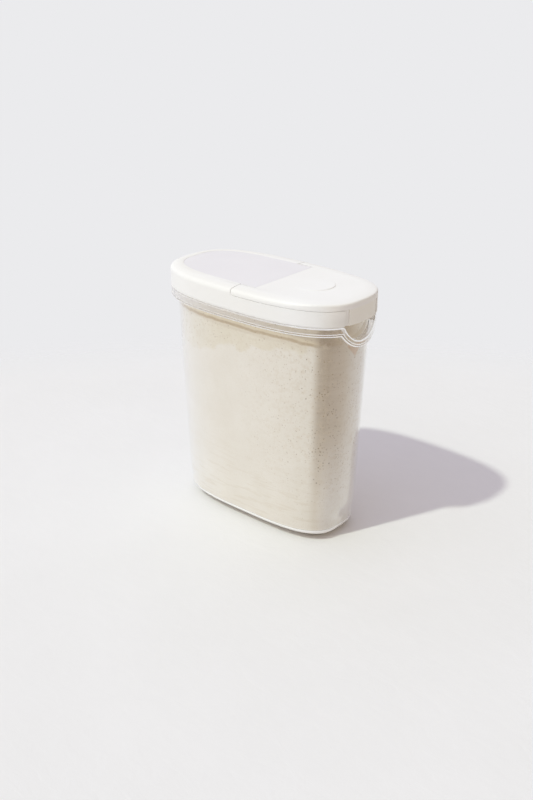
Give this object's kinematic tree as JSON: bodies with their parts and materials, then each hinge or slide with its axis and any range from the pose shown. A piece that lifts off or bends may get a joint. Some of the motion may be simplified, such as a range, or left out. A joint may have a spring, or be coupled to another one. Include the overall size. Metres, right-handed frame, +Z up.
{
  "type": "cereal dispenser",
  "caption": "Clear tapered oval food container with a lift-off white lid whose front half flips up on a hinge to pour, with a finger notch under the pull tab and a grey label panel.",
  "frame": {"origin": "middle of the base, on the surface that the container stands on", "axes": "+Z up, +X towards the pouring end with the pull tab, +Y across the lid"},
  "size_m": [0.2, 0.104, 0.2269],
  "materials": {
    "clear_plastic": "clear gloss",
    "white_plastic": "fine satin",
    "grey_panel": "fine matt",
    "silicone": "soft matt",
    "pin_steel": "plain"
  },
  "bodies": {
    "container": {"container": "clear_plastic"},
    "lid": {"lid_frame": "white_plastic", "label_panel": "grey_panel", "rim_gasket": "silicone", "hinge_pin_left": "pin_steel", "hinge_pin_right": "pin_steel"},
    "flip_top": {"flip_top": "white_plastic", "flip_liner": "white_plastic", "spout_gasket": "silicone"}
  },
  "joints": [
    {"name": "lid_lift", "type": "slide", "parent": "container", "child": "lid", "axis": [0, 0, 1], "range_m": [0, 0.06]},
    {"name": "flip_hinge", "type": "hinge", "parent": "lid", "child": "flip_top", "pos_m": [0.0042, 0, 0.2238], "axis": [0, -1, 0], "range_deg": [0, 110]}
  ]
}
